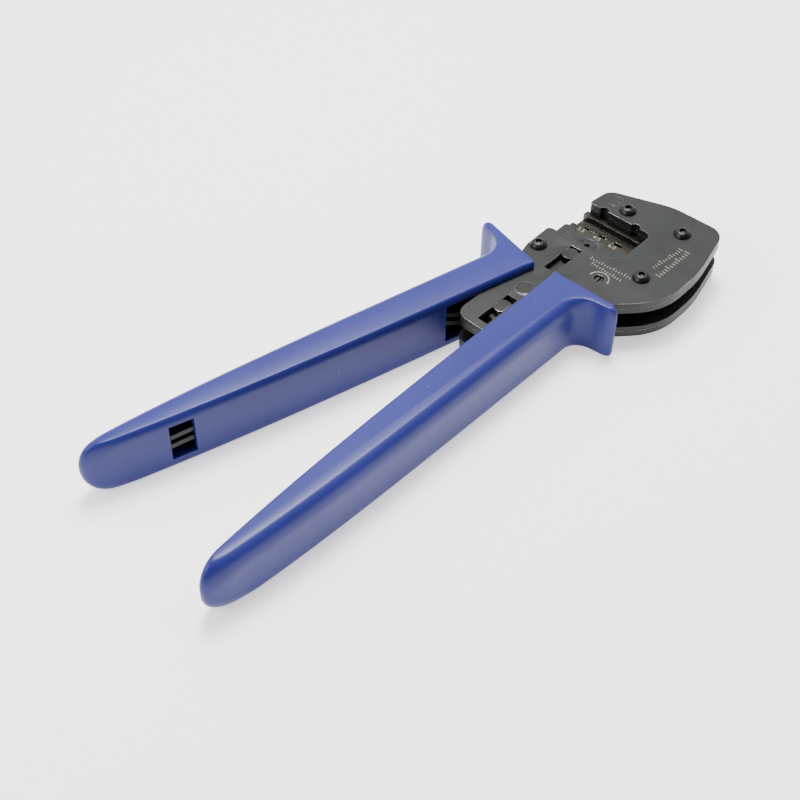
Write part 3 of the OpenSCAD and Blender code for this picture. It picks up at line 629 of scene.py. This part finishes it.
def evened(rows, steps, soft):
    """Points spaced evenly round a closed outline and smoothed over a few neighbours."""
    closed = np.vstack([rows[0], rows[0][:1]])
    gap = np.r_[0, np.cumsum(np.hypot(*np.diff(closed[:, :2], axis=0).T))]
    at = np.linspace(0, gap[-1], steps, endpoint=False)
    out = []
    for r in rows:
        c = np.vstack([r, r[:1]])
        e = np.stack([np.interp(at, gap, c[:, k]) for k in range(c.shape[1])], -1)
        for _ in range(soft):
            e = (np.roll(e, 1, 0) + 2 * e + np.roll(e, -1, 0)) / 4
        out.append(e)
    return out


def grip_shell(long):
    """The grip's outer form: the outline swept up, with an elliptic rounding above and
    one below of half its size, which grows to a little more than its size at the tip.
    The rings' heights are h (1 - sin a), and their insets 1 - cos a."""
    full, flat = evened([grip_outline(0.0, long), grip_outline(1.0, long)], 620, 3)
    quarter = np.radians(np.linspace(0, 90, 13))
    rings = []
    share = np.clip((full[:, :1] / long - 0.9) / 0.1, 0, 1)
    low = 0.5 + 0.65 * share
    for a in quarter[::-1]:
        p = full + (flat - full) * low * (1 - np.cos(a))
        rings.append(np.column_stack([p[:, :2], low[:, 0] * p[:, 2] * (1 - np.sin(a))]))
    for a in quarter:
        s = 1 - np.cos(a)
        p = full + (flat - full) * s
        rings.append(np.column_stack([p[:, :2], GRIP_TALL - p[:, 2] * (1 - np.sin(a))]))
    return np.array(rings)


def in_fixed(p):
    """From the grip's own frame in mm to the tool's in metres, on the fixed handle."""
    return np.stack([14.4 - p[..., 0], 13 - 4 - p[..., 1], p[..., 2]], -1) / 1000


def in_moving(p):
    """From the grip's own frame in mm to the tool's in metres, on the moving handle."""
    lean = math.radians(13.6)
    u, v = p[..., 0] - 11.9, p[..., 1] + 7.4
    return np.stack([-u * math.cos(lean) + v * math.sin(lean),
                     13 + u * math.sin(lean) + v * math.cos(lean), p[..., 2]], -1) / 1000


def prism(outline, low, high):
    """An outline in the plane, carried straight from low to high, as two rows of points."""
    return np.stack([np.column_stack([outline, np.full(len(outline), z)]) for z in (low, high)])


def block(u0, u1, v0, v1, low, high):
    return prism(np.array([[u0, v0], [u1, v0], [u1, v1], [u0, v1]]), low, high)


def cut(piece, tool):
    """Take tool out of piece, and remove tool."""
    m = piece.modifiers.new("cut", "BOOLEAN")
    m.operation = "DIFFERENCE"
    m.solver = "EXACT"
    m.object = tool
    bpy.context.view_layer.update()
    ready = piece.evaluated_get(bpy.context.evaluated_depsgraph_get())
    result = bpy.data.meshes.new_from_object(ready)
    piece.modifiers.clear()
    piece.data = result
    bpy.data.objects.remove(tool)


def loose_object(mesh):
    o = bpy.data.objects.new("tool", mesh)
    bpy.context.scene.collection.objects.link(o)
    return o


def grip_mesh(name, place, long, clearance, low, high, relief=None):
    """The outer form less the space for the lever and plates, its open inner side and its
    window. Ribs stay inside above and below the lever, between the heights low and high."""
    tall = LEVER_SPACE + clearance
    z0, z1 = GRIP_TALL / 2 - tall / 2, GRIP_TALL / 2 + tall / 2
    t = np.linspace(0, TIP_START, 40)[1:]
    back = np.linspace(TIP_START, 0.06, 40)
    space = np.concatenate([
        [[-1, WALL]],
        np.stack([long * t, inner_side(t) + WALL], -1),
        np.stack([long * back, outer_side(back) - WALL], -1),
        [[7.6, 17.4], [2.9, 24.5], [-1, 28.6]]])
    hollow = loose_object(grid_mesh("space", [place(prism(space, z0, z1))]))
    ribs = []
    for s in (0.36, 0.45, 0.6, 0.75, 0.9):
        u = long * s
        for foot, top in ((z0 - 0.2, low), (high, z1 + 0.2)):
            ribs.append(place(block(u - RIB_HALF, u + RIB_HALF,
                                    inner_side(s) + 1, outer_side(s) - 1, foot, top)))
    cut(hollow, loose_object(grid_mesh("ribs", ribs)))
    body = loose_object(grid_mesh(name, [place(grip_shell(long))]))
    cut(body, hollow)
    cut(body, loose_object(grid_mesh("entry", [place(block(-1, 46, -2, WALL + 2, z0, z1))])))
    window = long - TIP_TO_WINDOW
    opening = block(window - WINDOW_HALF, window + WINDOW_HALF, -1, 8,
                    WINDOW_LOW, GRIP_TALL - WINDOW_LOW)
    cut(body, loose_object(grid_mesh("window", [place(opening)])))
    if relief is not None:
        cut(body, loose_object(grid_mesh("relief", [relief])))
    mesh = body.data
    mesh.name = name
    bpy.data.objects.remove(body)
    tidy_shading(mesh, 30)
    return mesh


def moulded_blue(name):
    """Glossy moulded plastic: a slightly uneven tone, faint orange peel, a few pale specks
    of dust and hairline scuffs."""
    m, tree, shader = new_material(name, specular=0.24)
    place = object_place(tree)
    cloud = noise(tree, place, 22, 3, 0.5)
    tone = ramp(tree, cloud, "Fac", [(0.3, (0.0180, 0.0208, 0.147)), (0.7, (0.0212, 0.0242, 0.165))])
    dust = tree.nodes.new("ShaderNodeTexVoronoi")
    dust.inputs["Scale"].default_value = 85
    link_nodes(tree, place, "Vector", dust, "Vector")
    spot = ramp(tree, dust, "Distance", [(0.018, (1, 1, 1)), (0.03, (0, 0, 0))])
    pale = ramp(tree, cloud, "Fac", [(0.0, (0.08, 0.09, 0.26)), (1.0, (0.14, 0.15, 0.32))])
    both = mix_colour(tree, spot, "Color", tone, "Color", pale, "Color")
    tree.links.new(both.outputs[2], shader.inputs["Base Color"])
    scuff = noise(tree, object_place(tree, scale=(1, 6, 1)), 160, 5, 0.7)
    gloss = span(tree, scuff, "Fac", 0.35, 0.75, 0.3, 0.38)
    link_nodes(tree, gloss, "Result", shader, "Roughness")
    peel = noise(tree, place, 750, 2, 0.5)
    bump(tree, shader, peel, "Fac", 0.05, 0.0001)
    return m


def swept_sector(near, far, start, sweep, low, high):
    """A slab between two radii about the pivot, from start over sweep degrees, in mm."""
    a = np.radians(start + np.linspace(0, sweep, 40))
    inner = np.stack([near * np.cos(a), 13 + near * np.sin(a)], -1)
    outer = np.stack([far * np.cos(a), 13 + far * np.sin(a)], -1)[::-1]
    return prism(np.concatenate([inner, outer]), low, high) / 1000


blue = moulded_blue("moulded_blue")
fixed = grip_mesh("fixed_grip_moulding", in_fixed, GRIP_LONG, 0.04, 9.15, 16.85)
add_piece("fixed_grip_moulding", fixed, "frame", [blue], ("fixed_grip",))
moving = grip_mesh("moving_grip_moulding", in_moving, GRIP_LONG, 0.7, 9.6, 16.4,
                   swept_sector(24.8, 33.2, 18, 44, 22.2, 24.75))
add_piece("moving_grip_moulding", moving, "moving_handle", [blue], ("moving_grip",))

# ---- moulding gate ------------------------------------------------------------------
# The point at the fixed grip's tip where the plastic entered the mould: a broken stub
# in a shallow ring.


def gate_stub(seat, outward, radius=0.0011, around=32):
    """A low stub turned about outward, a direction: its profile runs r against height,
    with a ring, a groove and a rough button in the middle."""
    r = np.array([0.0, 0.22, 0.42, 0.5, 0.62, 0.8, 0.92, 1.0, 1.0, 0.0]) * radius
    h = np.array([0.30, 0.34, 0.26, 0.05, 0.04, 0.22, 0.22, 0.10, -0.9, -0.9]) * radius
    out = Vector(outward).normalized()
    across = out.orthogonal().normalized()
    other = out.cross(across)
    a = np.linspace(0, 2 * np.pi, around, endpoint=False)
    ring = np.cos(a)[:, None] * np.array(across) + np.sin(a)[:, None] * np.array(other)
    r = np.maximum(r, 1e-6)
    return np.array(seat) + r[:, None, None] * ring + h[:, None, None] * np.array(out)


gate_seat = in_fixed(np.array([204.3, 8.2, 8.0]))
gate = grid_mesh("moulding_gate", [gate_stub(tuple(gate_seat), (-1, 0.02, -0.12))])
add_piece("moulding_gate", gate, "frame", [blue])

# ---- floor, lights and camera -------------------------------------------------------
# A white sheet of paper, one large soft box above and behind, a weaker one at the left,
# and a pale room.

paper, tree, shader = new_material("white_paper", specular=0.2)
shader.inputs["Base Color"].default_value = (0.93, 0.93, 0.93, 1)
shader.inputs["Emission Color"].default_value = (1, 1, 1, 1)
shader.inputs["Emission Strength"].default_value = 0.85
shader.inputs["Roughness"].default_value = 0.9
sweep = bpy.data.meshes.new("sweep")
PAPER_Z = -0.0003
sweep.from_pydata([(-3, -3, PAPER_Z), (3, -3, PAPER_Z), (3, 3, PAPER_Z), (-3, 3, PAPER_Z)],
                  [], [(0, 1, 2, 3)])
sweep.materials.append(paper)
floor = bpy.data.objects.new("floor", sweep)
bpy.context.scene.collection.objects.link(floor)

room = bpy.data.worlds.new("pale_room")
room.use_nodes = True
tree = room.node_tree
sky = tree.nodes["Background"]
toward = tree.nodes.new("ShaderNodeTexCoord")
side = tree.nodes.new("ShaderNodeVectorMath")
side.operation = "DOT_PRODUCT"
link_nodes(tree, toward, "Generated", side, 0)
side.inputs[1].default_value = (0.62, 0.57, 0.54)
shade = ramp(tree, side, "Value", [(0.05, (0.06, 0.06, 0.065)), (0.55, (1, 1, 1))])
link_nodes(tree, shade, "Color", sky, "Color")
sky.inputs["Strength"].default_value = 1.35
bpy.context.scene.world = room


def soft_box(name, place, aim, size, power):
    data = bpy.data.lights.new(name, "AREA")
    data.size = size
    data.energy = power
    lamp = bpy.data.objects.new(name, data)
    lamp.location = place
    lamp.rotation_euler = (Vector(aim) - Vector(place)).to_track_quat("-Z", "Y").to_euler()
    bpy.context.scene.collection.objects.link(lamp)


soft_box("soft_box_above", (0.20, 0.25, 0.95), (-0.05, 0.02, 0), 0.42, 21)
soft_box("soft_box_side", (-0.7, 0.3, 0.5), (-0.05, 0.02, 0), 0.5, 5)

lens = bpy.data.cameras.new("camera")
lens.lens = 62.74
lens.sensor_width = 36
lens.clip_start = 0.01
camera = bpy.data.objects.new("camera", lens)
camera.location = (-0.35433, -0.2391, 0.40835)
camera.rotation_euler = (math.radians(43.554), math.radians(-0.537), math.radians(-47.273))
bpy.context.scene.collection.objects.link(camera)
bpy.context.scene.camera = camera
